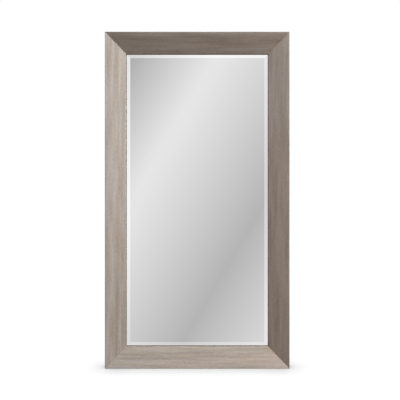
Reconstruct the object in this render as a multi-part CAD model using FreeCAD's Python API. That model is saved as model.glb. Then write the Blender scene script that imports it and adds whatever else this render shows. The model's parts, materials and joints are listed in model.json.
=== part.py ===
import FreeCAD, Part
import math
import os

# Floor mirror in a mitred wood frame, in millimetres
# +Z is up, the glass faces -Y, the origin is on the floor under the middle of the bounding box
# In a rail's section, "in" runs from its outer edge toward the glass and "fore" from its back plane

# Frame as a whole
frame_width = 910.0
frame_height = 1660.0
rail_width = 100.5

# Face of the moulding
crest_depth = 60.0
crest_width = 12.0
crest_fall = 2.7
crest_round = 300.0
crest_room_share = 0.95
outer_round = 1.0
lip_thickness = 6.5
lip_round = 1.2
edge_break = 0.8

# Rabbets in the back of the moulding
rabbet_width = 8.5
ledge_width = 16.0

# Glass
glass_clearance = 3.0
glass_thickness = 5.0
glass_rim = 2.8
bevel_width = 25.0

# Foam tape between lip and bevel
tape_thickness = 1.7
tape_setback = 1.0

# Rubber blocks that hold the glass in its rabbet
block_length = 60.0
block_quarter_share = 0.5
spacer_length = 40.0
spacer_height_share = 0.6

# Sheet and panel behind the glass
sheet_thickness = 2.0
panel_thickness = 5.0
panel_inset = 13.0
panel_clearance = 1.0

# Wood screws of the panel, the braces and the bumpers
screw_shank = 1.75
screw_head = 3.5
screw_length = 16.0
screw_tip = 3.0
screw_point = 0.3
screw_clearance = 0.05
panel_screw_pitch = 250.0
panel_screw_from_end = 60.0

# Wood screws of the hangers
hanger_screw_shank = 2.0
hanger_screw_head = 3.8
hanger_screw_length = 25.0

# Splines glued in slots across the mitres
spline_thickness = 4.0
spline_length = 44.0
spline_reach = 30.0
spline_fore = 26.0
glue_line = 0.1

# Steel braces on the back of the mitres
brace_arm = 80.0
brace_width = 18.0
brace_thickness = 2.0
brace_corner = 4.0
brace_first_hole = 24.0
brace_hole_pitch = 40.0

# Strap hangers
hanger_from_top = 330.0
strap_length = 58.0
strap_width = 16.0
strap_thickness = 1.5
strap_hole_pitch = 19.0
strap_holes = 3
knuckle_gap = 0.7

# Rings of the hangers
ring_wire = 1.75
ring_running = 0.1
ring_bar_spare = 1.5
ring_corner = 4.0
ring_side = 4.0

# Rubber bumpers
bumper_height = 8.0
bumper_base = 9.5
bumper_nose = 8.5
bumper_floor = 3.0
bumper_bore = 4.6
bumper_from_end = 150.0

# Overrun of a cut past the face that it opens
overrun = 5.0

# Flat sides of small round pieces, few to keep the model light
small_sides = 8
bumper_sides = 24
bend_steps = 12

# Sizes that follow from those above
crest_fore = crest_depth - crest_fall
glass_wall = rail_width - rabbet_width
panel_wall = glass_wall - ledge_width
back_middle = panel_wall / 2
glass_edge = glass_wall + glass_clearance
ledge_fore = panel_inset + panel_thickness
glass_back = ledge_fore + sheet_thickness
rim_fore = glass_back + glass_rim
glass_fore = glass_back + glass_thickness
lip_back = rim_fore + tape_thickness
lip_fore = lip_back + lip_thickness
bevel_rise = glass_thickness - glass_rim
knuckle_bore = ring_wire + ring_running
knuckle_outer = knuckle_bore + strap_thickness
back_y = (crest_depth - bumper_height) / 2
front_axis = FreeCAD.Vector(0, -1, 0)
back_axis = FreeCAD.Vector(0, 1, 0)
side_axis = FreeCAD.Vector(1, 0, 0)
half_turn = 180
quarter_turn = 90


# Point of a rail's section, in the rail's own frame
def section_point(inward, fore):
    return FreeCAD.Vector(0, -fore, inward)


# Point of a flat outline that lies on the back of the frame
def plan_point(across, up):
    return FreeCAD.Vector(across, 0, up)


# Closed wire through corners of (first, second, radius), each round tangent to both its sides
def rounded_wire(corners, place):
    rounds = []
    for index, (first, second, radius) in enumerate(corners):
        here = place(first, second)
        before = place(*corners[index - 1][:2])
        after = place(*corners[(index + 1) % len(corners)][:2])
        to_before = (before - here).normalize()
        to_after = (after - here).normalize()
        half_angle = to_before.getAngle(to_after) / 2
        setback = radius / math.tan(half_angle)
        toward_centre = (to_before + to_after).normalize()
        nearest = here + toward_centre * (radius / math.sin(half_angle) - radius)
        rounds.append((here + to_before * setback, nearest, here + to_after * setback, radius))
    edges = []
    for index, (entry, nearest, leave, radius) in enumerate(rounds):
        if radius > 0:
            edges.append(Part.Arc(entry, nearest, leave).toShape())
        next_entry = rounds[(index + 1) % len(rounds)][0]
        edges.append(Part.LineSegment(leave, next_entry).toShape())
    return Part.Wire(edges)


# Solid between an outline on the back plane and its copy further fore
def plate(corners, fore, thickness):
    face = Part.Face(rounded_wire(corners, plan_point))
    face.translate(front_axis * fore)
    return face.extrude(front_axis * thickness)


# Corners of a rectangle centred on a point of the back plane
def rectangle(width, height, across, up):
    left = across - width / 2
    right = across + width / 2
    low = up - height / 2
    high = up + height / 2
    return [(left, low, 0), (right, low, 0), (right, high, 0), (left, high, 0)]


# Four sides of the frame as (name, outer length, middle of outer edge, turn about Y)
def frame_sides():
    middle = frame_height / 2
    half_width = frame_width / 2
    return [
        ("bottom_rail", frame_width, FreeCAD.Vector(0, back_y, 0), 0),
        ("left_stile", frame_height, FreeCAD.Vector(-half_width, back_y, middle), quarter_turn),
        ("top_rail", frame_width, FreeCAD.Vector(0, back_y, frame_height), half_turn),
        ("right_stile", frame_height, FreeCAD.Vector(half_width, back_y, middle), -quarter_turn),
    ]


# Four corners of the frame as (name, outer corner, turn about Y)
def frame_corners():
    half_width = frame_width / 2
    return [
        ("bottom_left", FreeCAD.Vector(-half_width, back_y, 0), 0),
        ("top_left", FreeCAD.Vector(-half_width, back_y, frame_height), quarter_turn),
        ("top_right", FreeCAD.Vector(half_width, back_y, frame_height), half_turn),
        ("bottom_right", FreeCAD.Vector(half_width, back_y, 0), -quarter_turn),
    ]


# Shape built in the frame of a side or corner, moved to its place in the mirror
def placed(shape, origin, turn):
    rotation = FreeCAD.Rotation(back_axis, turn)
    moved = shape.copy()
    moved.Placement = FreeCAD.Placement(origin, rotation).multiply(moved.Placement)
    return moved


# Bar of a given section with both ends mitred at 45 degrees
def mitred_bar(section, length):
    half_length = length / 2
    face = Part.Face(rounded_wire(section, section_point))
    face.translate(side_axis * -half_length)
    bar = face.extrude(side_axis * length)
    ends = [(-half_length, 0, 0), (half_length, 0, 0), (half_length - rail_width, rail_width, 0)]
    ends.append((rail_width - half_length, rail_width, 0))
    return bar.common(plate(ends, 0, crest_depth))


# Corners of a regular polygon square to the Y axis, at a distance fore
def polygon_corners(radius, fore, sides):
    corners = []
    for index in range(sides):
        angle = math.tau * index / sides
        corners.append(FreeCAD.Vector(radius * math.cos(angle), -fore, radius * math.sin(angle)))
    return corners


# Flat face through corners
def flat_face(corners):
    return Part.Face(Part.makePolygon(corners + corners[:1]))


# Solid with flat faces between the matching corners of successive outlines
def faceted_solid(outlines):
    faces = [flat_face(outlines[0]), flat_face(outlines[-1])]
    for near, far in zip(outlines, outlines[1:]):
        for index in range(len(near)):
            faces.append(flat_face([near[index - 1], near[index], far[index], far[index - 1]]))
    solid = Part.makeSolid(Part.makeShell(faces))
    if solid.Volume < 0:
        solid.reverse()
    return solid


# Turned piece about the Y axis, from (radius, distance fore) of each step
def turned(steps, sides):
    return faceted_solid([polygon_corners(radius, fore, sides) for radius, fore in steps])


# Countersunk screw with its head flush at the origin, pointing fore
def countersunk_screw(shank, head, length, spare):
    steps = [
        (head + spare, 0),
        (shank + spare, head - shank),
        (shank + spare, length - screw_tip),
        (screw_point + spare, length + spare),
    ]
    return turned(steps, small_sides)


# One screw and the hole that it needs, moved to a point and turned with it
def screw_at(kind, across, fore, up, origin, turn, spare):
    shank, head, length = kind
    screw = countersunk_screw(shank, head, length, spare)
    screw.translate(FreeCAD.Vector(across, -fore, up))
    return placed(screw, origin, turn)


# Even spread of places about zero, no further apart than the pitch
def spread(span, pitch):
    gaps = max(1, math.ceil(span / pitch))
    return [span * (index / gaps) - span / 2 for index in range(gaps + 1)]


small_screw = (screw_shank, screw_head, screw_length)
hanger_screw = (hanger_screw_shank, hanger_screw_head, hanger_screw_length)


# Places of the screws around the back panel, as arguments for screw_at
def panel_screw_places():
    places = []
    inward = panel_wall + ledge_width / 2
    for name, length, origin, turn in frame_sides():
        span = length - (panel_wall + panel_clearance + panel_screw_from_end) * 2
        for along in spread(span, panel_screw_pitch):
            places.append((small_screw, along, panel_inset, inward, origin, turn))
    return places


# Places of the brace screws, two in each arm
def brace_screw_places():
    places = []
    for name, origin, turn in frame_corners():
        for step in range(2):
            reach = back_middle + brace_first_hole + brace_hole_pitch * step
            places.append((small_screw, reach, -brace_thickness, back_middle, origin, turn))
            places.append((small_screw, back_middle, -brace_thickness, reach, origin, turn))
    return places


# Middles of the bumpers as (name, point on the back plane)
def bumper_places():
    across = frame_width / 2 - back_middle
    top = frame_height - bumper_from_end
    return [
        ("wall_bumper_bottom_left", FreeCAD.Vector(-across, back_y, bumper_from_end)),
        ("wall_bumper_bottom_right", FreeCAD.Vector(across, back_y, bumper_from_end)),
        ("wall_bumper_top_left", FreeCAD.Vector(-across, back_y, top)),
        ("wall_bumper_top_right", FreeCAD.Vector(across, back_y, top)),
    ]


# Places of the bumper screws
def bumper_screw_places():
    return [(small_screw, 0, -bumper_floor, 0, middle, 0) for name, middle in bumper_places()]


# Hinge points of the hangers as (side name, point on the back plane)
def hanger_places():
    across = frame_width / 2 - back_middle
    up = frame_height - hanger_from_top
    left = FreeCAD.Vector(-across, back_y, up)
    right = FreeCAD.Vector(across, back_y, up)
    return [("left", left), ("right", right)]


# Places of the screws through one strap
def strap_screw_places(hinge):
    nose = strap_length - strap_width / 2
    first = nose - strap_hole_pitch * (strap_holes - 1)
    drops = [first + strap_hole_pitch * index for index in range(strap_holes)]
    return [(hanger_screw, 0, -strap_thickness, -drop, hinge, 0) for drop in drops]


# Screw solids at a list of places
def screws(places):
    return Part.makeCompound([screw_at(*place, 0) for place in places])


# Solid with the screw holes of a list of places cut out of it
def drilled(shape, places):
    holes = []
    for place in places:
        hole = screw_at(*place, screw_clearance)
        if hole.BoundBox.intersect(shape.BoundBox):
            holes.append(hole)
    return shape.cut(holes)


# Radius of the crest's round, smaller where the strip outside the crest leaves it too little room
def crest_radius():
    strip_angle = math.atan2(crest_fall, crest_width)
    slope_angle = math.atan2(crest_fore - lip_fore, rail_width - crest_width)
    edge_setback = outer_round * math.tan((math.radians(quarter_turn) + strip_angle) / 2)
    room = (math.hypot(crest_width, crest_fall) - edge_setback) * crest_room_share
    return min(crest_round, room / math.tan(abs(slope_angle - strip_angle) / 2))


# Section of the moulding, from its outer back edge round to the panel recess
def moulding_section():
    return [
        (0, 0, edge_break),
        (0, crest_depth, outer_round),
        (crest_width, crest_fore, crest_radius()),
        (rail_width, lip_fore, lip_round),
        (rail_width, lip_back, edge_break),
        (glass_wall, lip_back, 0),
        (glass_wall, ledge_fore, 0),
        (panel_wall, ledge_fore, 0),
        (panel_wall, 0, 0),
    ]


# Blank of a spline lying across the mitre of a corner, grown by a clearance
def spline_blank(spare):
    length = spline_length + spare * 2
    reach = spline_reach + spare * 2
    thickness = spline_thickness + spare * 2
    fore = spline_fore - spare
    blank = plate(rectangle(length, reach, 0, 0), fore, thickness)
    blank.rotate(FreeCAD.Vector(0, 0, 0), back_axis, -quarter_turn / 2)
    blank.translate(plan_point(back_middle, back_middle))
    return blank


# Slots for the splines, one at each corner
def spline_slots():
    return [placed(spline_blank(glue_line), origin, turn) for name, origin, turn in frame_corners()]


# Four mitred lengths of moulding, slotted and drilled
def rails():
    places = panel_screw_places() + brace_screw_places() + bumper_screw_places()
    for side, hinge in hanger_places():
        places += strap_screw_places(hinge)
    slots = spline_slots()
    pieces = {}
    for name, length, origin, turn in frame_sides():
        bar = placed(mitred_bar(moulding_section(), length), origin, turn)
        pieces[name] = drilled(bar.cut(slots), places)
    return pieces


# Plywood splines
def splines():
    pieces = {}
    for name, origin, turn in frame_corners():
        pieces["corner_spline_" + name] = placed(spline_blank(0), origin, turn)
    return pieces


# Flat steel L brace over one mitre, with a hole at each screw
def corner_braces():
    near = back_middle - brace_width / 2
    far = back_middle + brace_width / 2
    tip = back_middle + brace_arm
    near_cut = near + brace_corner
    far_cut = far - brace_corner
    tip_cut = tip - brace_corner
    arm = [(near_cut, near), (tip_cut, near), (tip, near_cut), (tip, far_cut), (tip_cut, far)]
    other_arm = [(second, first) for first, second in reversed(arm)]
    outline = [(first, second, 0) for first, second in arm + [(far, far)] + other_arm]
    pieces = {}
    for name, origin, turn in frame_corners():
        blank = placed(plate(outline, -brace_thickness, brace_thickness), origin, turn)
        pieces["corner_brace_" + name] = drilled(blank, brace_screw_places())
    return pieces


# Plate glass with a flat rim and a bevel that meets at the corners
def mirror_glass():
    width = frame_width - glass_edge * 2
    height = frame_height - glass_edge * 2
    middle = frame_height / 2
    rim = rectangle(width, height, 0, middle)
    field = rectangle(width - bevel_width * 2, height - bevel_width * 2, 0, middle)
    slab = plate(rim, glass_back, glass_rim)
    rim_wire = rounded_wire(rim, plan_point)
    rim_wire.translate(front_axis * rim_fore)
    field_wire = rounded_wire(field, plan_point)
    field_wire.translate(front_axis * glass_fore)
    bevel = Part.makeLoft([rim_wire, field_wire], True, True)
    glass = slab.fuse(bevel).removeSplitter()
    glass.translate(FreeCAD.Vector(0, back_y, 0))
    return glass


# Wedge-shaped foam tape along each side, between the lip's underside and the bevel
def glazing_tape():
    inner = rail_width - tape_setback
    inner_fore = rim_fore + (inner - glass_edge) * bevel_rise / bevel_width
    section = [
        (glass_edge, rim_fore, 0),
        (inner, inner_fore, 0),
        (inner, lip_back, 0),
        (glass_edge, lip_back, 0),
    ]
    strips = []
    for name, length, origin, turn in frame_sides():
        strips.append(placed(mitred_bar(section, length), origin, turn))
    return Part.makeCompound(strips)


# Rubber block between a rail's glass wall and the edge of the glass
def edge_block(length, along, origin, turn):
    middle = glass_wall + glass_clearance / 2
    corners = rectangle(length, glass_clearance, along, middle)
    return placed(plate(corners, glass_back, glass_rim), origin, turn)


# Two blocks under the glass and the spacers at its sides and top
def glass_blocks():
    blocks = []
    spacers = []
    for name, length, origin, turn in frame_sides():
        glass_length = length - glass_edge * 2
        if name == "bottom_rail":
            along = glass_length / 2 * block_quarter_share
            for end in (-along, along):
                blocks.append(edge_block(block_length, end, origin, turn))
        else:
            along = glass_length / 2 * spacer_height_share
            for end in (-along, along):
                spacers.append(edge_block(spacer_length, end, origin, turn))
    return {"setting_blocks": Part.makeCompound(blocks), "edge_spacers": Part.makeCompound(spacers)}


# Foam sheet that backs the silvering
def backing_sheet():
    width = frame_width - glass_edge * 2
    height = frame_height - glass_edge * 2
    sheet = plate(rectangle(width, height, 0, frame_height / 2), ledge_fore, sheet_thickness)
    sheet.translate(FreeCAD.Vector(0, back_y, 0))
    return sheet


# Fibreboard panel let into the back
def back_panel():
    edge = panel_wall + panel_clearance
    width = frame_width - edge * 2
    height = frame_height - edge * 2
    corners = rectangle(width, height, 0, frame_height / 2)
    panel = plate(corners, panel_inset, panel_thickness)
    panel.translate(FreeCAD.Vector(0, back_y, 0))
    return drilled(panel, panel_screw_places())


# Point of the rolled knuckle, at an angle past where the strap meets it
def knuckle_point(radius, angle):
    return FreeCAD.Vector(0, knuckle_outer - radius * math.cos(angle), radius * math.sin(angle))


# Strap hanger whose end is rolled round the ring's bar, until it nears the strap's own back
def hanger_plate(hinge):
    past_down = math.asin(1 - (strap_thickness + knuckle_gap) / knuckle_outer)
    wrap = math.radians(half_turn + quarter_turn) + past_down
    outside = [knuckle_point(knuckle_outer, angle) for angle in (0, wrap / 2, wrap)]
    inside = [knuckle_point(knuckle_bore, angle) for angle in (wrap, wrap / 2, 0)]
    foot = FreeCAD.Vector(0, 0, -strap_length)
    foot_back = FreeCAD.Vector(0, strap_thickness, -strap_length)
    edges = [
        Part.LineSegment(foot, outside[0]).toShape(),
        Part.Arc(*outside).toShape(),
        Part.LineSegment(outside[-1], inside[0]).toShape(),
        Part.Arc(*inside).toShape(),
        Part.LineSegment(inside[-1], foot_back).toShape(),
        Part.LineSegment(foot_back, foot).toShape(),
    ]
    side = Part.Face(Part.Wire(edges))
    side.translate(side_axis * (-strap_width / 2))
    strip = side.extrude(side_axis * strap_width)
    nose = strap_width / 2
    head = knuckle_outer + overrun
    outline = [(-nose, -strap_length, nose), (nose, -strap_length, nose), (nose, head, 0), (-nose, head, 0)]
    strip = strip.common(plate(outline, -knuckle_outer * 2, knuckle_outer * 2))
    return drilled(placed(strip, hinge, 0), strap_screw_places(hinge))


# D ring that hangs from its round bar, bent from the same wire
def hanger_ring(hinge):
    bar_end = strap_width / 2 + ring_bar_spare
    bow_radius = bar_end + ring_corner
    bar = Part.makeCylinder(ring_wire, bar_end * 2, plan_point(-bar_end, 0), side_axis)
    bends = [
        (plan_point(bar_end, -ring_corner), ring_corner, quarter_turn, 0),
        (plan_point(0, -ring_corner - ring_side), bow_radius, 0, -half_turn),
        (plan_point(-bar_end, -ring_corner), ring_corner, half_turn, quarter_turn),
    ]
    wire = polygon_corners(ring_wire, 0, small_sides)
    outlines = []
    for centre, radius, first, last in bends:
        steps = round(bend_steps * abs(last - first) / half_turn)
        for index in range(steps + 1):
            angle = math.radians(first + (last - first) * index / steps)
            outward = plan_point(math.cos(angle), math.sin(angle))
            outline = [outward * (radius + corner.x) + back_axis * corner.z for corner in wire]
            outlines.append([centre + point for point in outline])
    ring = bar.fuse(faceted_solid(outlines)).removeSplitter()
    ring.translate(back_axis * knuckle_outer)
    return placed(ring, hinge, 0)


# Tapered rubber bumper with a sunk screw
def wall_bumper(middle):
    rubber = turned([(bumper_base, 0), (bumper_nose, -bumper_height)], bumper_sides)
    well = turned([(bumper_bore, -bumper_floor), (bumper_bore, -bumper_height - overrun)], bumper_sides)
    return drilled(placed(rubber.cut(well), middle, 0), bumper_screw_places())


# All pieces by node name
def build():
    pieces = rails()
    pieces.update(splines())
    pieces.update(corner_braces())
    pieces["brace_screws"] = screws(brace_screw_places())
    pieces["mirror_glass"] = mirror_glass()
    pieces["glazing_tape"] = glazing_tape()
    pieces.update(glass_blocks())
    pieces["backing_sheet"] = backing_sheet()
    pieces["back_panel"] = back_panel()
    pieces["panel_screws"] = screws(panel_screw_places())
    for side, hinge in hanger_places():
        pieces["hanger_plate_" + side] = hanger_plate(hinge)
        pieces["hanger_ring_" + side] = hanger_ring(hinge)
        pieces["hanger_screws_" + side] = screws(strap_screw_places(hinge))
    for name, middle in bumper_places():
        pieces[name] = wall_bumper(middle)
    pieces["bumper_screws"] = screws(bumper_screw_places())
    return pieces


os.makedirs("parts", exist_ok=True)
for node, shape in build().items():
    shape.exportStep("parts/" + node + ".step")
    print(node, len(shape.Solids), "solids", round(shape.Volume), "mm3, valid", shape.isValid())
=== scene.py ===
# Bevelled floor mirror: its finish and the studio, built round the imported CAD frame.
# Pieces are sized in millimetres and scaled at the end. Finishes and the room are in metres.
import json
import math

import bmesh
import bpy
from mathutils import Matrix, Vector


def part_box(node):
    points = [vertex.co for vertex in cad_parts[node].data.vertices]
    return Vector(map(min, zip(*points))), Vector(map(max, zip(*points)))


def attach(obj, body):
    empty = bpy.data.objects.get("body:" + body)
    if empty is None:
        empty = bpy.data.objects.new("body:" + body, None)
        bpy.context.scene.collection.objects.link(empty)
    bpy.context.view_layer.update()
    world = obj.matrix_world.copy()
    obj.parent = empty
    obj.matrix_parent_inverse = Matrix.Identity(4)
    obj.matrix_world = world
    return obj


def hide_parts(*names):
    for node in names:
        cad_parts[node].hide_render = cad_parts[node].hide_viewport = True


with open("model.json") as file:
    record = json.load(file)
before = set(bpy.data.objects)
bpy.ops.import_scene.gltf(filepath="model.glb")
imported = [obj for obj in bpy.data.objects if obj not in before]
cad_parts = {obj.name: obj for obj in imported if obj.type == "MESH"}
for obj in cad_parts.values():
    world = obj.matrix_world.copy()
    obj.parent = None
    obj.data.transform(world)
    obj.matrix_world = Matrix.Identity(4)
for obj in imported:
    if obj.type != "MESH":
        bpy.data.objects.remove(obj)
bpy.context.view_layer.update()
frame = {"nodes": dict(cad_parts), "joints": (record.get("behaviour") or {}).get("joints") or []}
print("frame loaded,", len(frame["nodes"]), "nodes")

toMetres = 0.001


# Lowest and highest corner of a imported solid, in millimetres
def cadCorners(node):
    return [[round(value / toMetres, 2) for value in corner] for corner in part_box(node)]


railLow, railHigh = cadCorners("bottom_rail")
frameWidth = railHigh[0] - railLow[0]
frameHeight = cadCorners("left_stile")[1][2]
halfWidth, halfHeight = frameWidth / 2, frameHeight / 2
backPlane = railHigh[1]  # y of the frame's flat back, the side toward the wall
stileMiddle = 38.0       # the back hardware sits on this line, in from the outer edge
cornerNames = ("bottom_left", "bottom_right", "top_left", "top_right")
sharpestLean = 0.35      # keeps a sharp corner from running far in when its outline is moved


# A place given from the bottom left corner, moved to the corner of that name
def inCorner(name, place):
    across = halfWidth - place[0] if "right" in name else place[0] - halfWidth
    return Vector((across, frameHeight - place[1] if "top" in name else place[1]))


# Rounds the corners of a closed outline given as (first, second, radius).
# Support adds a point that far past each round, so that the straight beside it shades flat.
def roundedOutline(corners, steps, support=0.0):
    points = []
    for index, (first, second, radius) in enumerate(corners):
        here = Vector((first, second))
        if not radius:
            points.append(here)
            continue
        back = (Vector(corners[index - 1][:2]) - here).normalized()
        ahead = (Vector(corners[(index + 1) % len(corners)][:2]) - here).normalized()
        halfAngle = back.angle(ahead) / 2
        reach = radius / math.tan(halfAngle)
        middle = here + (back + ahead).normalized() * radius / math.sin(halfAngle)
        start = here + back * reach - middle
        end = here + ahead * reach - middle
        sweep = math.atan2(start.x * end.y - start.y * end.x, start.dot(end))
        if support:
            points.append(middle + start + back * support)
        for step in range(steps + 1):
            turn = sweep * step / steps
            turned = Vector((
                start.x * math.cos(turn) - start.y * math.sin(turn),
                start.x * math.sin(turn) + start.y * math.cos(turn),
            ))
            points.append(middle + turned)
        if support:
            points.append(middle + end + ahead * support)
    return points


# Moves every point of a closed outline inward by the same distance
def insetOutline(points, distance):
    area = sum(a.x * b.y - a.y * b.x for a, b in zip(points, points[1:] + points[:1]))
    side = 1 if area > 0 else -1
    moved = []
    for index, here in enumerate(points):
        before = (here - points[index - 1]).normalized()
        after = (points[(index + 1) % len(points)] - here).normalized()
        inward = Vector((-before.y - after.y, before.x + after.x)).normalized() * side
        lean = max(sharpestLean, abs(inward.y * before.x - inward.x * before.y))
        moved.append(here + inward * distance / lean)
    return moved


# Points of an arc, its angles in degrees from across toward up
def arcPoints(across, up, radius, start, end, steps):
    turns = [math.radians(start + (end - start) * step / steps) for step in range(steps + 1)]
    return [Vector((across + radius * math.cos(turn), up + radius * math.sin(turn))) for turn in turns]


def circlePoints(across, up, radius, sides):
    return arcPoints(across, up, radius, 0, 360, sides)[:-1]


def atDepth(points, y):
    return [(point.x, y, point.y) for point in points]


def newLoop(bm, points):
    return [bm.verts.new(point) for point in points]


def joinLoops(bm, near, far):
    return [
        bm.faces.new((near[index - 1], near[index], far[index], far[index - 1]))
        for index in range(len(near))
    ]


# Skins a run of rings with the same number of points and closes both ends
def skinRings(bm, rings):
    loops = [newLoop(bm, ring) for ring in rings]
    bands = [joinLoops(bm, near, far) for near, far in zip(loops, loops[1:])]
    ends = [bm.faces.new(loops[0]), bm.faces.new(loops[-1])]
    return bands, ends


# Joins a run of loops, and the last of them to the first
def joinAround(bm, loops):
    for index in range(len(loops)):
        joinLoops(bm, loops[index - 1], loops[index])


# Fills one flat side of a plate, leaving its holes open
def fillAround(bm, loops):
    edges = []
    for loop in loops:
        for index in range(len(loop)):
            pair = (loop[index - 1], loop[index])
            edges.append(bm.edges.get(pair) or bm.edges.new(pair))
    bmesh.ops.triangle_fill(bm, use_beauty=True, edges=edges)


# Flat plate square to Y, eased round its back, with a countersunk hole at each (across, up)
def holedPlate(bm, outline, holes, front, back, ease, sink):
    frontLoops = [newLoop(bm, atDepth(outline, front))]
    sideLoop = newLoop(bm, atDepth(outline, back - ease))
    backLoops = [newLoop(bm, atDepth(insetOutline(outline, ease), back))]
    joinLoops(bm, frontLoops[0], sideLoop)
    joinLoops(bm, sideLoop, backLoops[0])
    for across, up in holes:
        throat = circlePoints(across, up, sink["throat"], sink["sides"])
        frontLoop = newLoop(bm, atDepth(throat, front))
        throatLoop = frontLoop
        if sink["depth"] < back - front:
            throatLoop = newLoop(bm, atDepth(throat, back - sink["depth"]))
            joinLoops(bm, frontLoop, throatLoop)
        backLoop = newLoop(bm, atDepth(circlePoints(across, up, sink["mouth"], sink["sides"]), back))
        joinLoops(bm, throatLoop, backLoop)
        frontLoops.append(frontLoop)
        backLoops.append(backLoop)
    fillAround(bm, frontLoops)
    fillAround(bm, backLoops)


def meshFrom(name, bm, finishes):
    mesh = bpy.data.meshes.new(name)
    bm.to_mesh(mesh)
    bm.free()
    for finish in finishes:
        mesh.materials.append(finish)
    return mesh


def newObject(name, data):
    made = bpy.data.objects.new(name, data)
    bpy.context.scene.collection.objects.link(made)
    return made


# Scales a piece to metres, gives it its finish and hands it to the frame.
# Edges that turn by more than sharpAngle, in degrees, stay sharp, and 0 leaves every face flat.
def finishPiece(name, bm, body, finishes, replaced, sharpAngle=32):
    bmesh.ops.recalc_face_normals(bm, faces=bm.faces)
    bmesh.ops.scale(bm, vec=(toMetres, toMetres, toMetres), verts=bm.verts)
    for face in bm.faces:
        face.smooth = sharpAngle > 0
    for edge in bm.edges:
        if edge.calc_face_angle(0) > math.radians(sharpAngle):
            edge.smooth = False
    piece = newObject(name, meshFrom(name, bm, finishes))
    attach(piece, body)
    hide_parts(*replaced)


# Sets an input of a node, or wires another node's output into it
def feed(tree, socket, value):
    if isinstance(value, bpy.types.NodeSocket):
        tree.links.new(value, socket)
    elif socket.type == "RGBA":
        socket.default_value = (*value, 1.0)
    else:
        socket.default_value = value


def putNode(tree, kind, inputs=None, **settings):
    node = tree.nodes.new(kind)
    for key, value in settings.items():
        setattr(node, key, value)
    for key, value in (inputs or {}).items():
        feed(tree, node.inputs[key], value)
    return node


def calc(tree, operation, first, second=0.0, clamp=False):
    node = putNode(tree, "ShaderNodeMath", {0: first, 1: second}, operation=operation, use_clamp=clamp)
    return node.outputs[0]


# Sum of values, each times its own share
def weighed(tree, values, shares):
    total = 0.0
    for value, share in zip(values, shares):
        total = calc(tree, "ADD", calc(tree, "MULTIPLY", value, share), total)
    return total


def heldBetween(tree, value, low, high):
    return calc(tree, "MINIMUM", calc(tree, "MAXIMUM", value, low), high)


def remap(tree, value, low, high, toLow=0.0, toHigh=1.0):
    span = {"Value": value, "From Min": low, "From Max": high, "To Min": toLow, "To Max": toHigh}
    return putNode(tree, "ShaderNodeMapRange", span).outputs["Result"]


def mixColours(tree, share, first, second, blend="MIX"):
    node = putNode(tree, "ShaderNodeMix", data_type="RGBA", blend_type=blend)
    feed(tree, node.inputs[0], share)
    feed(tree, node.inputs[6], first)
    feed(tree, node.inputs[7], second)
    return node.outputs[2]


# Lays a second colour over the first where a mask says, and no deeper than given
def laidOver(tree, mask, depth, colour, over):
    return mixColours(tree, calc(tree, "MULTIPLY", mask, depth), colour, over)


def noise(tree, where, scale, detail):
    inputs = {"Vector": where, "Scale": scale, "Detail": detail}
    return putNode(tree, "ShaderNodeTexNoise", inputs).outputs[0]


# Coordinates packed closer by one number along X and by another across it
def packedCloser(tree, place, along, across):
    return putNode(tree, "ShaderNodeCombineXYZ", {
        0: calc(tree, "MULTIPLY", place[0], along),
        1: calc(tree, "MULTIPLY", place[1], across),
        2: calc(tree, "MULTIPLY", place[2], across),
    }).outputs[0]


# Colour that goes from one (position, colour) pair to the next
def colourRamp(tree, value, pairs):
    ramp = putNode(tree, "ShaderNodeValToRGB", {"Fac": value})
    stops = ramp.color_ramp.elements
    stops[0].position, stops[1].position = pairs[0][0], pairs[-1][0]
    for position, _ in pairs[1:-1]:
        stops.new(position)
    for stop, (_, colour) in zip(stops, pairs):
        stop.color = (*colour, 1)
    return ramp.outputs[0]


def newGroup(name, inputs, outputs):
    tree = bpy.data.node_groups.new(name, "ShaderNodeTree")
    for label, kind, value in inputs:
        socket = tree.interface.new_socket(name=label, in_out="INPUT", socket_type=kind)
        if value is not None:
            socket.default_value = value
    for label, kind in outputs:
        tree.interface.new_socket(name=label, in_out="OUTPUT", socket_type=kind)
    return tree, tree.nodes.new("NodeGroupInput").outputs, tree.nodes.new("NodeGroupOutput").inputs


def useGroup(tree, group, inputs):
    return putNode(tree, "ShaderNodeGroup", inputs, node_tree=group).outputs


number = "NodeSocketFloat"
vector = "NodeSocketVector"
grainSpan = (0.3, 0.7)       # nearly all of a grain's values lie in here
toneSpan = (0.2, 0.8)        # and nearly all of a patchy tone's in here


# Streaks drawn out along X that wander a little from side to side
def buildGrainLines():
    bendsAlong, bendsAcross = 1.4, 5.0      # in a metre
    tree, given, out = newGroup(
        "grainLines",
        [("Coordinates", vector, None), ("Along", number, 1.0), ("Across", number, 60.0),
         ("Wander", number, 0.01), ("Detail", number, 3.0)],
        [("Lines", number)],
    )
    place = putNode(tree, "ShaderNodeSeparateXYZ", {0: given["Coordinates"]}).outputs
    sway = noise(tree, packedCloser(tree, place, bendsAlong, bendsAcross), 1.0, 2.0)
    sway = calc(tree, "MULTIPLY", calc(tree, "SUBTRACT", sway, 0.5), given["Wander"])
    swayed = (place[0], calc(tree, "ADD", place[1], sway), calc(tree, "ADD", place[2], sway))
    drawn = packedCloser(tree, swayed, given["Along"], given["Across"])
    tree.links.new(noise(tree, drawn, 1.0, given["Detail"]), out["Lines"])
    return tree


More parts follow.
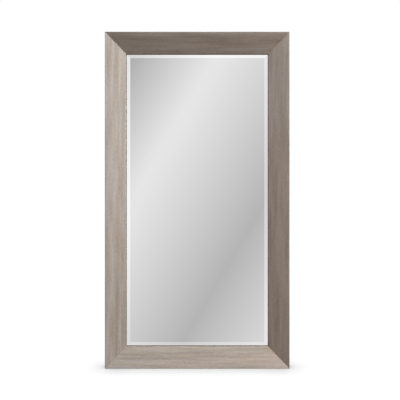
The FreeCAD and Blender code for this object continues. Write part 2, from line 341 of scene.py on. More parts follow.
# Short dark pores of an open-grained wood, drawn out along X
def buildPores():
    highest, softness = 0.9, 0.12           # the noise's own top, and how softly a pore ends
    tree, given, out = newGroup(
        "pores",
        [("Coordinates", vector, None), ("Along", number, 40.0), ("Across", number, 900.0),
         ("Cover", number, 0.4)],
        [("Mask", number)],
    )
    place = putNode(tree, "ShaderNodeSeparateXYZ", {0: given["Coordinates"]}).outputs
    spots = noise(tree, packedCloser(tree, place, given["Along"], given["Across"]), 1.0, 1.0)
    edge = calc(tree, "SUBTRACT", highest, given["Cover"])
    share = calc(tree, "DIVIDE", calc(tree, "SUBTRACT", spots, edge), softness, clamp=True)
    tree.links.new(share, out["Mask"])
    return tree


# Uneven tone in soft patches, centred on a half
def buildPatches():
    tree, given, out = newGroup(
        "patches",
        [("Coordinates", vector, None), ("Scale", number, 20.0), ("Contrast", number, 1.0)],
        [("Tone", number)],
    )
    broad = noise(tree, given["Coordinates"], given["Scale"], 4.0)
    shift = calc(tree, "MULTIPLY", calc(tree, "SUBTRACT", broad, 0.5), given["Contrast"])
    tree.links.new(calc(tree, "ADD", shift, 0.5, clamp=True), out["Tone"])
    return tree


# Mask of the arrises of a piece, broken up along their length; it marks edge wear, and on the veneer
# painted shade as well
def buildArrisWearAndShade():
    broken = (0.35, 0.65)                   # below the first the edge is whole, past the second worn
    tree, given, out = newGroup(
        "wornEdges",
        [("Coordinates", vector, None), ("Radius", number, 0.001), ("Gain", number, 3.0),
         ("Breakup", number, 60.0)],
        [("Mask", number)],
    )
    rounded = putNode(tree, "ShaderNodeBevel", {"Radius": given["Radius"]}, samples=4).outputs[0]
    facing = putNode(tree, "ShaderNodeNewGeometry").outputs["Normal"]
    both = {0: rounded, 1: facing}
    agree = putNode(tree, "ShaderNodeVectorMath", both, operation="DOT_PRODUCT").outputs["Value"]
    edge = calc(tree, "MULTIPLY", calc(tree, "SUBTRACT", 1.0, agree), given["Gain"], clamp=True)
    wear = remap(tree, noise(tree, given["Coordinates"], given["Breakup"], 3.0), *broken)
    tree.links.new(calc(tree, "MULTIPLY", edge, wear), out["Mask"])
    return tree


grainLines = buildGrainLines()
pores = buildPores()
patches = buildPatches()
wornEdges = buildArrisWearAndShade()
print("shader groups built")


def startFinish(name, turn=(0, 0, 0), shift=(0, 0, 0)):
    material = bpy.data.materials.new(name)
    material.use_nodes = True
    tree = material.node_tree
    where = putNode(tree, "ShaderNodeTexCoord").outputs["Object"]
    mapped = putNode(tree, "ShaderNodeMapping", {"Vector": where, "Rotation": turn, "Location": shift})
    return material, tree, tree.nodes["Principled BSDF"], mapped.outputs[0]


def addBump(tree, shader, height, depth, strength=0.6):
    bump = putNode(tree, "ShaderNodeBump", {"Height": height, "Distance": depth, "Strength": strength})
    tree.links.new(bump.outputs[0], shader.inputs["Normal"])


# One kind of grain, with the settings that a wood's dictionary gives it
def grainOf(tree, where, settings):
    return useGroup(tree, grainLines, {"Coordinates": where, **settings})["Lines"]


def poresOf(tree, where, settings):
    return useGroup(tree, pores, {"Coordinates": where, **settings})["Mask"]


def patchesOf(tree, where, scale, contrast):
    settings = {"Coordinates": where, "Scale": scale, "Contrast": contrast}
    return useGroup(tree, patches, settings)["Tone"]


def wornOf(tree, where, settings):
    return useGroup(tree, wornEdges, {"Coordinates": where, **settings})["Mask"]


veneer = dict(
    dark=(0.342, 0.285, 0.240),
    mid=(0.438, 0.378, 0.330),
    light=(0.530, 0.470, 0.420),
    pore=(0.235, 0.190, 0.155),
    # edge: darker arrises, partly wear and partly painted shade that dims the rounded edges
    edge=(0.300, 0.256, 0.220),
    cool=(0.976, 1.0, 1.022),     # the stain takes a little greyer or browner from band to band
    warm=(1.020, 1.0, 0.976),
    # Along and Across: how many streaks in a metre; Wander: metres
    broad=dict(Along=1.2, Across=34.0, Wander=0.03, Detail=2.0),
    streaks=dict(Along=5.0, Across=80.0, Wander=0.012, Detail=2.0),
    fibres=dict(Along=90.0, Across=240.0, Wander=0.005, Detail=2.0),
    bands=dict(Along=3.5, Across=52.0, Wander=0.01, Detail=1.0),
    dashes=dict(Along=45.0, Across=1100.0, Cover=0.30),
    worn=dict(Radius=0.003, Gain=3.0, Breakup=30.0),
    shares=(0.32, 0.40, 0.28),    # broad, streaks, fibres
    tones=(0.36, 0.50, 0.64),     # where the grain is dark, mid and light
    poreDepth=0.35, edgeDepth=0.7, fibreRelief=0.5,
    rough=(0.44, 0.56), poreRough=0.15, gloss=0.3, relief=0.00006,
)


# Grey-brown stained oak veneer, its grain along one rail, its arrises darkened partly by wear and partly
# by painted shade
def oakVeneer(name, turn, shift):
    material, tree, shader, where = startFinish(name, turn, shift)
    broad = grainOf(tree, where, veneer["broad"])
    streaks = grainOf(tree, where, veneer["streaks"])
    fibres = grainOf(tree, where, veneer["fibres"])
    bands = grainOf(tree, where, veneer["bands"])
    dashes = poresOf(tree, where, veneer["dashes"])
    worn = wornOf(tree, where, veneer["worn"])
    grain = weighed(tree, (broad, streaks, fibres), veneer["shares"])
    tones = zip(veneer["tones"], (veneer["dark"], veneer["mid"], veneer["light"]))
    colour = colourRamp(tree, grain, tuple(tones))
    darkest, _, lightest = veneer["tones"]
    stain = mixColours(tree, remap(tree, bands, darkest, lightest), veneer["cool"], veneer["warm"])
    colour = mixColours(tree, 1.0, colour, stain, "MULTIPLY")
    colour = laidOver(tree, dashes, veneer["poreDepth"], colour, veneer["pore"])
    # darker arrises: edge wear, and painted shade over the rounded edges
    colour = laidOver(tree, worn, veneer["edgeDepth"], colour, veneer["edge"])
    tree.links.new(colour, shader.inputs["Base Color"])
    rough = remap(tree, streaks, *grainSpan, *veneer["rough"])
    rough = weighed(tree, (rough, dashes), (1.0, veneer["poreRough"]))
    tree.links.new(rough, shader.inputs["Roughness"])
    shader.inputs["Specular IOR Level"].default_value = veneer["gloss"]
    height = weighed(tree, (fibres, dashes), (veneer["fibreRelief"], -1.0))
    addBump(tree, shader, height, veneer["relief"])
    return material


rawWood = dict(
    dark=(0.430, 0.320, 0.205),
    light=(0.600, 0.475, 0.330),
    pore=(0.300, 0.210, 0.130),
    rings=dict(Along=1.1, Across=75.0, Wander=0.09, Detail=3.0),
    fibres=dict(Along=16.0, Across=800.0, Wander=0.02, Detail=2.0),
    dashes=dict(Along=60.0, Across=1300.0, Cover=0.27),
    shares=(0.75, 0.25),          # rings, fibres
    tones=(0.34, 0.66),           # where the wood is dark and light
    poreDepth=0.3, fibreRelief=0.7, rough=(0.62, 0.78), relief=0.00008, strength=0.7,
)


# Planed poplar core, seen on the back and in the rabbets
def bareWood(name, turn, shift):
    material, tree, shader, where = startFinish(name, turn, shift)
    rings = grainOf(tree, where, rawWood["rings"])
    fibres = grainOf(tree, where, rawWood["fibres"])
    dashes = poresOf(tree, where, rawWood["dashes"])
    tone = remap(tree, weighed(tree, (rings, fibres), rawWood["shares"]), *rawWood["tones"])
    colour = mixColours(tree, tone, rawWood["dark"], rawWood["light"])
    colour = laidOver(tree, dashes, rawWood["poreDepth"], colour, rawWood["pore"])
    tree.links.new(colour, shader.inputs["Base Color"])
    tree.links.new(remap(tree, rings, *grainSpan, *rawWood["rough"]), shader.inputs["Roughness"])
    height = weighed(tree, (fibres, dashes), (rawWood["fibreRelief"], -1.0))
    addBump(tree, shader, height, rawWood["relief"], rawWood["strength"])
    return material


# Painted shade for the lip's inner edge: near-black tones in place of the shade by the glass
lipPaintedShade = dict(
    dark=(0.085, 0.070, 0.058), light=(0.150, 0.126, 0.106),
    streaks=dict(Along=4.0, Across=260.0, Wander=0.02, Detail=3.0),
    rough=(0.50, 0.64), relief=0.00005, strength=0.5,
)


# Painted shade: a near-black with faint grain on the lip's inner edge, next to the glass, standing in
# for the shade of the gap there
def paintedLipShade(name, turn, shift):
    material, tree, shader, where = startFinish(name, turn, shift)
    streaks = grainOf(tree, where, lipPaintedShade["streaks"])
    colour = mixColours(tree, remap(tree, streaks, *grainSpan), lipPaintedShade["dark"], lipPaintedShade["light"])
    tree.links.new(colour, shader.inputs["Base Color"])
    tree.links.new(remap(tree, streaks, *grainSpan, *lipPaintedShade["rough"]), shader.inputs["Roughness"])
    addBump(tree, shader, streaks, lipPaintedShade["relief"], lipPaintedShade["strength"])
    return material


silver = dict(
    clear=(0.972, 0.972, 0.972), dull=(0.952, 0.954, 0.954),
    haze=(3.0, 1.0),              # scale and contrast
    rough=(0.006, 0.016),
)


# Silvered plate glass with a barely uneven silvering
def mirrorSilver():
    material, tree, shader, where = startFinish("mirrorSilver")
    haze = patchesOf(tree, where, *silver["haze"])
    colour = mixColours(tree, haze, silver["dull"], silver["clear"])
    tree.links.new(colour, shader.inputs["Base Color"])
    tree.links.new(remap(tree, haze, *toneSpan, *silver["rough"]), shader.inputs["Roughness"])
    shader.inputs["Metallic"].default_value = 1.0
    return material


# What all the plain finishes below have alike
patched = dict(fineContrast=2.0, shares=(0.65, 0.35), gain=3.0, breakup=90.0, edgeDepth=0.7)


# Plain finishes that share one recipe: two colours in patches, a roughness span and a fine relief
def patchedFinish(name, recipe):
    material, tree, shader, where = startFinish(name)
    tone = patchesOf(tree, where, recipe["patch"], recipe["contrast"])
    fine = patchesOf(tree, where, recipe["speck"], patched["fineContrast"])
    blend = weighed(tree, (tone, fine), patched["shares"])
    colour = mixColours(tree, blend, recipe["dark"], recipe["light"])
    if "edge" in recipe:
        wear = dict(Radius=recipe["edgeWidth"], Gain=patched["gain"], Breakup=patched["breakup"])
        colour = laidOver(tree, wornOf(tree, where, wear), patched["edgeDepth"], colour, recipe["edge"])
    tree.links.new(colour, shader.inputs["Base Color"])
    tree.links.new(remap(tree, blend, *toneSpan, *recipe["rough"]), shader.inputs["Roughness"])
    shader.inputs["Metallic"].default_value = recipe.get("metal", 0.0)
    addBump(tree, shader, fine, recipe["relief"])
    return material


zincSteel = patchedFinish("zincSteel", dict(
    dark=(0.50, 0.51, 0.52), light=(0.68, 0.69, 0.70), patch=140.0, contrast=1.8, speck=900.0,
    rough=(0.24, 0.38), relief=0.00003, metal=1.0, edge=(0.80, 0.80, 0.80), edgeWidth=0.0006))
screwSteel = patchedFinish("screwSteel", dict(
    dark=(0.52, 0.49, 0.42), light=(0.72, 0.69, 0.61), patch=400.0, contrast=1.6, speck=2200.0,
    rough=(0.26, 0.42), relief=0.00002, metal=1.0, edge=(0.82, 0.80, 0.74), edgeWidth=0.0003))
bumperRubber = patchedFinish("bumperRubber", dict(
    dark=(0.022, 0.022, 0.024), light=(0.046, 0.046, 0.048), patch=260.0, contrast=1.5, speck=1800.0,
    rough=(0.58, 0.76), relief=0.00005, edge=(0.085, 0.084, 0.082), edgeWidth=0.0007))
blockRubber = patchedFinish("blockRubber", dict(
    dark=(0.030, 0.030, 0.033), light=(0.060, 0.060, 0.062), patch=180.0, contrast=1.5, speck=1500.0,
    rough=(0.66, 0.82), relief=0.00006))
foamTape = patchedFinish("foamTape", dict(
    dark=(0.040, 0.040, 0.042), light=(0.085, 0.085, 0.088), patch=220.0, contrast=1.4, speck=1300.0,
    rough=(0.82, 0.95), relief=0.00012))
foamSheet = patchedFinish("foamSheet", dict(
    dark=(0.66, 0.67, 0.67), light=(0.80, 0.81, 0.80), patch=90.0, contrast=1.2, speck=700.0,
    rough=(0.60, 0.78), relief=0.00015))
glassEdge = patchedFinish("glassEdge", dict(
    dark=(0.20, 0.24, 0.23), light=(0.30, 0.34, 0.33), patch=50.0, contrast=1.2, speck=900.0,
    rough=(0.45, 0.60), relief=0.00003))
print("finishes built")


panelBoard = dict(
    dark=(0.235, 0.150, 0.088), light=(0.345, 0.235, 0.148), fleck=(0.45, 0.33, 0.22),
    flecks=dict(Along=160.0, Across=420.0, Cover=0.24), fleckDepth=0.5,
    slow=(5.0, 1.3), felt=(420.0, 2.2),     # scale and contrast
    shares=(0.55, 0.45),
    rough=(0.50, 0.68), relief=0.00008,
)


# Brown fibreboard: short felted fibres and slow tone changes
def boardFinish():
    material, tree, shader, where = startFinish("fibreboard")
    slow = patchesOf(tree, where, *panelBoard["slow"])
    felt = patchesOf(tree, where, *panelBoard["felt"])
    flecks = poresOf(tree, where, panelBoard["flecks"])
    blend = weighed(tree, (slow, felt), panelBoard["shares"])
    colour = mixColours(tree, blend, panelBoard["dark"], panelBoard["light"])
    colour = laidOver(tree, flecks, panelBoard["fleckDepth"], colour, panelBoard["fleck"])
    tree.links.new(colour, shader.inputs["Base Color"])
    tree.links.new(remap(tree, felt, *toneSpan, *panelBoard["rough"]), shader.inputs["Roughness"])
    addBump(tree, shader, felt, panelBoard["relief"])
    return material


plywood = dict(
    layer=2600.0,                 # radians per metre, so that a ply is 1.2 mm thick
    dark=(0.46, 0.33, 0.20), light=(0.66, 0.52, 0.35),
    grain=dict(Along=20.0, Across=420.0, Wander=0.01, Detail=2.0),
    shares=(0.6, 0.4),            # plies, grain
    rough=(0.6, 0.8), relief=0.00006,
)


# Thin plies across the spline's thickness, with grain along each
def plywoodFinish():
    material, tree, shader, where = startFinish("splinePlywood")
    depth = putNode(tree, "ShaderNodeSeparateXYZ", {0: where}).outputs[1]
    plies = calc(tree, "SINE", calc(tree, "MULTIPLY", depth, plywood["layer"]))
    grain = grainOf(tree, where, plywood["grain"])
    blend = weighed(tree, (remap(tree, plies, -1.0, 1.0), grain), plywood["shares"])
    colour = mixColours(tree, blend, plywood["dark"], plywood["light"])
    tree.links.new(colour, shader.inputs["Base Color"])
    tree.links.new(remap(tree, grain, *grainSpan, *plywood["rough"]), shader.inputs["Roughness"])
    addBump(tree, shader, grain, plywood["relief"])
    return material


moulding = dict(
    # in from the outer edge, fore of the back plane, rounding
    corners=((0, 0, 0.8), (0, 60, 1.16), (14, 57.25, 240), (100.5, 31, 1.2), (100.5, 24.5, 0.8),
             (92, 24.5, 0), (92, 18, 0), (76, 18, 0), (76, 0, 0)),
    steps=8, support=0.2,
    jointWidth=0.25, jointDepth=0.18,       # the mitre is broken by a hairline V
    bareBelow=0.6, ledgeFrom=75.0, ledgeTop=25.0,       # the flat back and the two ledges are bare wood
    noseFrom=99.5, noseTop=30.6,            # the lip's inner edge gets the near-black painted shade
)
lying = (0, 0, 0)                       # the grain runs along X
standing = (0, math.radians(90), 0)     # and is turned to Z
rails = (
    # name, outer length, middle of the outer edge, along, inward, grain turn, grain shift
    ("bottom_rail", frameWidth, (0, 0), (1, 0), (0, 1), lying, (3.1, 0.7, 1.9)),
    ("left_stile", frameHeight, (-halfWidth, halfHeight), (0, -1), (1, 0), standing, (11.1, 3.5, 1.3)),
    ("top_rail", frameWidth, (0, frameHeight), (-1, 0), (0, -1), lying, (80.8, 16.9, 12.6)),
    ("right_stile", frameHeight, (halfWidth, halfHeight), (0, 1), (-1, 0), standing, (51.5, 19.8, 14.6)),
)


# One mitred rail, its outline pinched at both ends so that the joints show as hairlines
def makeRail(name, length, origin, along, inward, grainTurn, grainShift):
    outline = roundedOutline(moulding["corners"], moulding["steps"], moulding["support"])
    pinched = insetOutline(outline, moulding["jointDepth"])
    width, support = moulding["jointWidth"], moulding["support"]
    stations = [(-1, 0, pinched), (-1, width, outline), (-1, width + support, outline)]
    stations += [(1, back, points) for _, back, points in reversed(stations)]
    rings = []
    for end, back, points in stations:
        ring = []
        for point in points:
            reach = end * (length / 2 - point.x - back)
            across = origin[0] + along[0] * reach + inward[0] * point.x
            up = origin[1] + along[1] * reach + inward[1] * point.x
            ring.append((across, backPlane - point.y, up))
        rings.append(ring)
    bm = bmesh.new()
    bands, _ = skinRings(bm, rings)
    for band in bands:
        for index, face in enumerate(band):
            middle = (outline[index - 1] + outline[index]) / 2
            onLedge = middle.x > moulding["ledgeFrom"] and middle.y < moulding["ledgeTop"]
            if middle.y < moulding["bareBelow"] or onLedge:
                face.material_index = 1
            elif middle.x > moulding["noseFrom"] and middle.y < moulding["noseTop"]:
                face.material_index = 2
    # the third finish is the painted shade on the lip's inner edge
    finishes = [
        oakVeneer("oakVeneer." + name, grainTurn, grainShift),
        bareWood("bareWood." + name, grainTurn, grainShift),
        paintedLipShade("paintedLipShade." + name, grainTurn, grainShift),
    ]
    finishPiece("veneered_" + name, bm, "mirror", finishes, [name])


for rail in rails:
    makeRail(*rail)
print("rails built")


glassLow, glassHigh = cadCorners("mirror_glass")
glass = dict(
    halfWidth=glassHigh[0], low=glassLow[2], high=glassHigh[2],
    back=glassHigh[1], field=glassLow[1],   # y of the silvering and of the field
    rim=3.2, bevel=25.0, arris=0.3,         # y of the bevel's rim, and two widths
    # the bevel flattens into the field from a little before their line to a little past it
    softFrom=0.6, softMiddle=0.2, softEnd=0.2,
    softLevel=0.7,                          # share of the slope's height that is left at the middle
)


# Plate glass: ground bevel with a sharp mitre at each corner and a softened line to the field
def makeGlass():
    def ring(inset, y):
        left, right = inset - glass["halfWidth"], glass["halfWidth"] - inset
        low, high = glass["low"] + inset, glass["high"] - inset
        return [(left, y, low), (right, y, low), (right, y, high), (left, y, high)]

    bevel, arris, soft = glass["bevel"], glass["arris"], glass["softMiddle"]
    slope = (glass["rim"] - glass["field"]) / bevel
    rings = [
        ring(arris, glass["back"]),
        ring(0, glass["back"] - arris),
        ring(0, glass["rim"] + arris),
        ring(arris, glass["rim"] - arris * slope),
        ring(bevel - glass["softFrom"], glass["field"] + glass["softFrom"] * slope),
        ring(bevel - soft, glass["field"] + soft * slope * glass["softLevel"]),
        ring(bevel + glass["softEnd"], glass["field"]),
    ]
    bm = bmesh.new()
    (rearArris, edge, frontArris, *_), (rear, _) = skinRings(bm, rings)
    for face in (*rearArris, *edge, *frontArris, rear):
        face.material_index = 1
    finishes = [mirrorSilver(), glassEdge]
    finishPiece("bevelled_glass", bm, "mirror", finishes, ["mirror_glass"], 0)


makeGlass()
print("glass built")


smallScrew = dict(shank=1.75, head=3.5, length=16.0, tip=3.0)
hangerScrew = dict(shank=2.0, head=3.8, length=25.0, tip=3.0)
# rim, rimDrop and the cross are shares of the head's radius, and turn is in radians
screwShape = dict(rim=0.94, rimDrop=0.05, point=0.3, sides=24, turn=2.399)
screwCross = dict(arm=0.60, half=0.155, root=1.25, taper=0.45, floor=0.42, depth=0.42)


# One level of a head's cross recess, smaller by the scale given
def crossOutline(head, across, up, turn, scale):
    arm = head * screwCross["arm"] * scale
    half = head * screwCross["half"] * (1 - screwCross["taper"] * (1 - scale))
    root = half * screwCross["root"]
    points = []
    for side in range(4):
        angle = turn + side * math.pi / 2
        for out, over in ((arm, -half), (arm, half), (root, root)):
            points.append(Vector((
                across + out * math.cos(angle) - over * math.sin(angle),
                up + out * math.sin(angle) + over * math.cos(angle),
            )))
    return points


# Countersunk wood screw with a cross recess, its head in the plane at y and its point toward the front
def addScrew(bm, kind, across, up, y, turn):
    head, shank, length = kind["head"], kind["shank"], kind["length"]

    def roundLoop(radius, depth):
        return newLoop(bm, atDepth(circlePoints(across, up, radius, screwShape["sides"]), y - depth))

    def crossLoop(scale, depth):
        return newLoop(bm, atDepth(crossOutline(head, across, up, turn, scale), y - depth))

    near = roundLoop(head * screwShape["rim"], 0.0)
    mouth = crossLoop(1.0, 0.0)
    floor = crossLoop(screwCross["floor"], head * screwCross["depth"])
    fillAround(bm, [near, mouth])
    joinLoops(bm, mouth, floor)
    bm.faces.new(floor)
    steps = [
        (head, head * screwShape["rimDrop"]), (shank, head - shank),
        (shank, length - kind["tip"]), (screwShape["point"], length),
    ]
    for radius, depth in steps:
        far = roundLoop(radius, depth)
        joinLoops(bm, near, far)
        near = far
    bm.faces.new(near)


# One piece of many screws, each stopped at its own angle
def makeScrews(name, node, kind, y, places):
    bm = bmesh.new()
    for index, (across, up) in enumerate(places):
        addScrew(bm, kind, across, up, y, index * screwShape["turn"] % math.tau)
    finishPiece(name, bm, "mirror", [screwSteel], [node])


panelLow, panelHigh = cadCorners("back_panel")
panel = dict(
    edge=panelLow[2], front=panelLow[1], back=panelHigh[1], corner=1.5, cornerSteps=4, ease=0.6,
    screwLine=84.0, screwFromEnd=60.0, pitch=250.0,     # the line is in from the frame's outer edge
)
panelSink = dict(mouth=3.75, throat=1.95, depth=1.8, sides=24)


def panelScrewPlaces():
    places = []
    line, margin = panel["screwLine"], panel["edge"] + panel["screwFromEnd"]
    for length, upright in ((frameWidth, False), (frameHeight, True)):
        span = length - 2 * margin
        gaps = math.ceil(span / panel["pitch"])
        for index in range(gaps + 1):
            along = span * index / gaps - span / 2
            if upright:
                middle = halfHeight + along
                places += [(line - halfWidth, middle), (halfWidth - line, middle)]
            else:
                places += [(along, line), (along, frameHeight - line)]
    return places


def makeBackPanel():
    low, back, corner = panel["edge"], panel["back"], panel["corner"]
    half, high = halfWidth - low, frameHeight - low
    flat = [(-half, low, corner), (half, low, corner), (half, high, corner), (-half, high, corner)]
    outline = roundedOutline(flat, panel["cornerSteps"])
    places = panelScrewPlaces()
    bm = bmesh.new()
    holedPlate(bm, outline, places, panel["front"], back, panel["ease"], panelSink)
    finishPiece("fibreboard_back", bm, "mirror", [boardFinish()], ["back_panel"])
    makeScrews("back_screws", "panel_screws", smallScrew, back, places)


makeBackPanel()
print("back panel built")


brace = dict(
    near=29.0, far=47.0, tip=118.0, holes=(62.0, 102.0),    # in from the frame's outer edges
    corner=4.0, inner=3.0, cornerSteps=5, thickness=2.0, ease=0.35,
)
braceSink = dict(mouth=3.62, throat=1.95, depth=1.68, sides=24)


# L-shaped steel braces across the back of the mitres, two screws in each arm
def makeBraces():
    near, far, tip, corner = brace["near"], brace["far"], brace["tip"], brace["corner"]
    flat = [(near, near, corner), (tip, near, corner), (tip, far, corner), (far, far, brace["inner"]),
            (far, tip, corner), (near, tip, corner)]
    back = backPlane + brace["thickness"]
    allHoles = []
    for name in cornerNames:
        outline = [inCorner(name, point) for point in roundedOutline(flat, brace["cornerSteps"])]
        holes = []
        for reach in brace["holes"]:
            holes += [inCorner(name, place) for place in ((reach, stileMiddle), (stileMiddle, reach))]
        bm = bmesh.new()
        holedPlate(bm, outline, holes, backPlane, back, brace["ease"], braceSink)
        replaced = ["corner_brace_" + name]
        finishPiece("steel_brace_" + name, bm, "mirror", [zincSteel], replaced)
        allHoles += holes
    makeScrews("brace_fixings", "brace_screws", smallScrew, back, allHoles)


makeBraces()
print("braces built")


hanger = dict(
    hinge=round(frame["joints"][0]["pos_m"][2] / toMetres, 2),      # both rings swing at one height
    width=16.0, length=58.0, thickness=1.5, ease=0.25,
    outer=3.35, bore=1.85, gap=0.7,         # the knuckle's radii, and what its end leaves open
    drops=(12.0, 31.0, 50.0),               # the screws, down from the hinge
    footSteps=16, rollSteps=30, weld=0.02,
)
hangerSink = dict(mouth=3.92, throat=2.42, depth=1.5, sides=24)
ringWire = dict(
    radius=1.75, barHalf=9.5, corner=4.0, side=4.0,
    sides=16, bendSteps=6, bowSteps=28, barStops=(-0.6, 0.0, 0.6),
)


# The tongue's top edge goes on as a roll round the ring's bar
def rollKnuckle(bm, middle):
    hinge, outer, bore = hanger["hinge"], hanger["outer"], hanger["bore"]
    half, ease, axisY = hanger["width"] / 2, hanger["ease"], backPlane + hanger["outer"]
    # the top edge's own faces, which lie within the ease of the hinge's height, are opened first
    topEdge = [face for face in bm.faces if all(vert.co.z > hinge - 1.2 * ease for vert in face.verts)]
    bmesh.ops.delete(bm, geom=topEdge, context="FACES_ONLY")
    past = math.asin(1 - (hanger["thickness"] + hanger["gap"]) / outer)
    wrap = math.radians(270) + past
    section = [(-half, outer), (half, outer), (half, bore + ease), (half - ease, bore),
               (ease - half, bore), (-half, bore + ease)]
    loops = []
    for step in range(hanger["rollSteps"] + 1):
        angle = wrap * step / hanger["rollSteps"]
        loops.append(newLoop(bm, [
            (middle + across, axisY - radius * math.cos(angle), hinge + radius * math.sin(angle))
            for across, radius in section
        ]))
    for near, far in zip(loops, loops[1:]):
        joinLoops(bm, near, far)
    bm.faces.new(loops[-1])
    bmesh.ops.remove_doubles(bm, verts=bm.verts, dist=hanger["weld"])


# Strap hanger: a flat tongue with three screws and a round foot, rolled at its top
def makeHanger(side, middle):
    half, hinge, back = hanger["width"] / 2, hanger["hinge"], backPlane + hanger["thickness"]
    outline = [Vector((middle + half, hinge)), Vector((middle - half, hinge))]
    outline += arcPoints(middle, hinge - hanger["length"] + half, half, 180, 360, hanger["footSteps"])
    holes = [(middle, hinge - drop) for drop in hanger["drops"]]
    bm = bmesh.new()
    holedPlate(bm, outline, holes, backPlane, back, hanger["ease"], hangerSink)
    rollKnuckle(bm, middle)
    replaced = ["hanger_plate_" + side]
    finishPiece("strap_hanger_" + side, bm, "mirror", [zincSteel], replaced)
    makeScrews("strap_fixings_" + side, "hanger_screws_" + side, hangerScrew, back, holes)


# D ring bent from round wire: a straight bar in the knuckle, two bends and a bow
def makeRing(side, middle):
    bar, corner = ringWire["barHalf"], ringWire["corner"]
    axisY, hinge = backPlane + hanger["outer"], hanger["hinge"]
    path = arcPoints(bar, -corner, corner, 90, 0, ringWire["bendSteps"])
    path += arcPoints(0, -corner - ringWire["side"], bar + corner, 0, -180, ringWire["bowSteps"])
    path += arcPoints(-bar, -corner, corner, 180, 90, ringWire["bendSteps"])
    path += [Vector((bar * stop, 0)) for stop in ringWire["barStops"]]
    bm = bmesh.new()
    loops = []
    for index, here in enumerate(path):
        ahead = (path[(index + 1) % len(path)] - path[index - 1]).normalized()
        ring = []
        for point in circlePoints(0, 0, ringWire["radius"], ringWire["sides"]):
            across, up = here.x - ahead.y * point.x, here.y + ahead.x * point.x
            ring.append((middle + across, axisY + point.y, hinge + up))
        loops.append(newLoop(bm, ring))
    joinAround(bm, loops)
    replaced = ["hanger_ring_" + side]
    finishPiece("wire_ring_" + side, bm, "ring_" + side, [zincSteel], replaced)


for side, middle in (("left", stileMiddle - halfWidth), ("right", halfWidth - stileMiddle)):
    makeHanger(side, middle)
    makeRing(side, middle)
print("hangers built")


bumper = dict(
    # radius, and how far that ring stands out behind the frame's back
    profile=((9.5, 0.0), (9.5, 0.5), (9.35, 1.2), (8.78, 6.6), (8.5, 7.4), (7.9, 7.85), (7.2, 8.0),
             (5.3, 8.0), (4.85, 7.85), (4.6, 7.45), (4.6, 3.15), (4.45, 3.0), (1.85, 3.0), (1.85, 0.0)),
    fromEnd=150.0, floor=3.0, sides=48,
)


# Turned rubber bumpers, each with a screw down its well
def makeBumpers():
    spots = [inCorner(name, (stileMiddle, bumper["fromEnd"])) for name in cornerNames]
    for name, (across, up) in zip(cornerNames, spots):
        bm = bmesh.new()
        joinAround(bm, [
            newLoop(bm, atDepth(circlePoints(across, up, radius, bumper["sides"]), backPlane + out))
            for radius, out in bumper["profile"]
        ])
        piece, replaced = "rubber_bumper_" + name, ["wall_bumper_" + name]
        finishPiece(piece, bm, "mirror", [bumperRubber], replaced, 40)
    makeScrews("bumper_fixings", "bumper_screws", smallScrew, backPlane + bumper["floor"], spots)


makeBumpers()
print("bumpers built")


# CAD solids whose shape is right as packed
kept = {
    "glazing_tape": foamTape,
    "setting_blocks": blockRubber,
    "edge_spacers": blockRubber,
    "backing_sheet": foamSheet,
}
splinePlywood = plywoodFinish()
for corner in cornerNames:
    kept["corner_spline_" + corner] = splinePlywood
for node, finish in kept.items():
    mesh = frame["nodes"][node].data
    mesh.materials.clear()
    mesh.materials.append(finish)
print("carried-over solids finished")


studio = dict(
    floorSize=16.0, floorSquares=8, floorDrop=0.0005,
    floorGlow=1.03, shadowReach=0.13, shadowDepth=0.75, shadowLean=(0, -0.6, 0.8),
    fill=0.0, backdrop=1.0,
    # where, aimed at, width, spread in degrees, watts, colour
    lights=(
        ("highRight", (3.0, -1.8, 5.4), (0.0, 0.0, 1.02), 1.8, 70, 104.0, (0.908, 0.970, 1.0)),
        ("overhead", (0.2, -0.6, 3.8), (0.0, 0.0, 0.83), 1.2, 180, 10.5, (1.0, 0.62, 0.62)),
        ("lowRight", (2.0, -1.5, 0.2), (0.0, 0.0, 0.83), 1.0, 180, 16.5, (1.0, 0.66, 0.46)),
        ("backLeft", (-2.3, 2.7, 2.6), (0.0, 0.0, 0.83), 1.6, 180, 95.0, (1.0, 1.0, 1.0)),
        ("backRight", (2.2, 2.9, 1.1), (0.0, 0.0, 0.83), 1.4, 180, 45.0, (1.0, 0.98, 0.95)),
    ),
)


# Plain white floor that only the camera sees, with a painted shadow close round the foot of the mirror
def makeFloor():
    bm = bmesh.new()
    squares = studio["floorSquares"]
    bmesh.ops.create_grid(bm, x_segments=squares, y_segments=squares, size=studio["floorSize"] / 2)
    bmesh.ops.translate(bm, vec=(0, 0, -studio["floorDrop"]), verts=bm.verts)
    material = bpy.data.materials.new("paleFloor")
    material.use_nodes = True
    tree = material.node_tree
    tree.nodes.remove(tree.nodes["Principled BSDF"])
    reach = {"Distance": studio["shadowReach"], "Normal": studio["shadowLean"]}
    openness = putNode(tree, "ShaderNodeAmbientOcclusion", reach, samples=16).outputs["AO"]
    glow, depth = studio["floorGlow"], studio["shadowDepth"]
    lit = remap(tree, openness, 0.0, 1.0, glow * (1 - depth), glow)
    shine = putNode(tree, "ShaderNodeEmission", {"Strength": lit})
    tree.links.new(shine.outputs[0], tree.nodes["Material Output"].inputs["Surface"])
    floor = newObject("studio_floor", meshFrom("studio_floor", bm, [material]))
    floor.visible_diffuse = False
    floor.visible_glossy = False
    floor.visible_shadow = False


# Broad soft lamps, kept out of the glass itself
def makeLights():
    for name, where, target, size, spread, watts, colour in studio["lights"]:
        lamp = bpy.data.lights.new(name, "AREA")
        lamp.shape = "DISK"
        lamp.size = size
        lamp.spread = math.radians(spread)
        lamp.energy = watts
        lamp.color = colour
        holder = newObject(name, lamp)
        holder.location = where
        holder.rotation_euler = (Vector(target) - Vector(where)).to_track_quat("-Z", "Y").to_euler()
        holder.visible_camera = False
        holder.visible_glossy = False


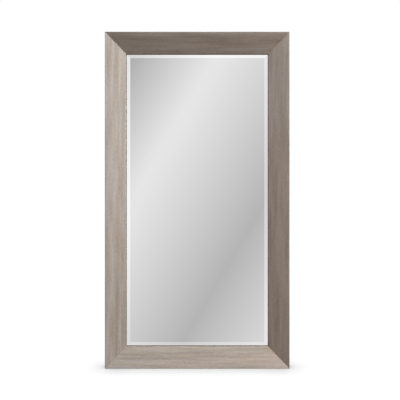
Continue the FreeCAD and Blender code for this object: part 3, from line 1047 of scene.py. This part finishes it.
reflection = dict(
    left=-0.157, right=0.145, low=-0.324, high=0.300,    # slopes of the directions that the field shows
    slant=1.70,
    # slant position, grey
    wave=((-0.527, 0.434), (-0.270, 0.745), (-0.235, 0.772), (-0.195, 0.762), (0.253, 0.450),
          (0.533, 0.655)),
    reach=0.16,
    # how much darkness is left past each side, from one slope along that side to another
    veil=dict(left=((0.01, 0.36), (-0.324, 0.74)), right=((0.30, 0.66), (-0.324, 0.66)),
              low=((-0.157, 0.69), (0.145, 0.69)), high=((-0.157, 0.58), (0.0, 0.37))),
    gain=1.06,
    # how high, grey: what the back's metal shows
    behind=((-0.70, 0.16), (-0.25, 0.30), (0.0, 0.52), (0.25, 0.95), (0.50, 0.90), (0.75, 0.35),
            (1.0, 0.25)),
    turnover=(-0.15, 0.10),       # forward share of a direction where the room ahead gives way to that
    leastAhead=0.15,              # keeps the slopes finite to the sides
)


# Grey that goes from one (position, grey) pair to the next, whatever their span
def greyRamp(tree, value, pairs):
    start, end = pairs[0][0], pairs[-1][0]
    shares = [((position - start) / (end - start), (grey,) * 3) for position, grey in pairs]
    return colourRamp(tree, remap(tree, value, start, end), shares)


# The room that the glass shows: slanted soft light and dark, and paler beyond the field's own view
def makeWorld():
    world = bpy.data.worlds.new("studioRoom")
    bpy.context.scene.world = world
    world.use_nodes = True
    tree = world.node_tree
    way = putNode(tree, "ShaderNodeTexCoord").outputs["Generated"]
    across, depth, up = putNode(tree, "ShaderNodeSeparateXYZ", {0: way}).outputs
    ahead = calc(tree, "MAXIMUM", calc(tree, "MULTIPLY", depth, -1.0), reflection["leastAhead"])
    slopeAcross = calc(tree, "DIVIDE", across, ahead)
    slopeUp = calc(tree, "DIVIDE", up, ahead)
    heldAcross = heldBetween(tree, slopeAcross, reflection["left"], reflection["right"])
    heldUp = heldBetween(tree, slopeUp, reflection["low"], reflection["high"])
    slant = calc(tree, "SUBTRACT", calc(tree, "MULTIPLY", heldAcross, reflection["slant"]), heldUp)
    dark = calc(tree, "SUBTRACT", 1.0, greyRamp(tree, slant, reflection["wave"]))
    beyond = (
        (calc(tree, "SUBTRACT", reflection["left"], slopeAcross), "left", heldUp),
        (calc(tree, "SUBTRACT", slopeAcross, reflection["right"]), "right", heldUp),
        (calc(tree, "SUBTRACT", reflection["low"], slopeUp), "low", heldAcross),
        (calc(tree, "SUBTRACT", slopeUp, reflection["high"]), "high", heldAcross),
    )
    for distance, side, along in beyond:
        (first, firstVeil), (last, lastVeil) = reflection["veil"][side]
        veil = remap(tree, along, first, last, firstVeil, lastVeil)
        dark = calc(tree, "MULTIPLY", dark, remap(tree, distance, 0.0, reflection["reach"], 1.0, veil))
    mirrored = calc(tree, "MULTIPLY", calc(tree, "SUBTRACT", 1.0, dark), reflection["gain"])
    rear = greyRamp(tree, up, reflection["behind"])
    mirrored = mixColours(tree, remap(tree, depth, *reflection["turnover"]), mirrored, rear)
    path = putNode(tree, "ShaderNodeLightPath").outputs
    seen = mixColours(tree, path["Is Glossy Ray"], (studio["fill"],) * 3, mirrored)
    seen = mixColours(tree, path["Is Camera Ray"], seen, (studio["backdrop"],) * 3)
    tree.links.new(seen, tree.nodes["Background"].inputs["Color"])


shot = dict(place=(0.0137, -2.334, 0.86), lens=42.04, sensor=36.0, shift=-0.0148, farthest=60.0)


# Level camera square to the glass, close to the height of its middle
def makeCamera():
    lens = bpy.data.cameras.new("camera")
    lens.lens = shot["lens"]
    lens.sensor_width = shot["sensor"]
    lens.shift_y = shot["shift"]
    lens.clip_end = shot["farthest"]
    camera = newObject("camera", lens)
    camera.location = shot["place"]
    camera.rotation_euler = (math.radians(90), 0, 0)
    bpy.context.scene.camera = camera


makeFloor()
makeLights()
makeWorld()
makeCamera()
bpy.context.scene.view_settings.view_transform = "Standard"
print("studio set")
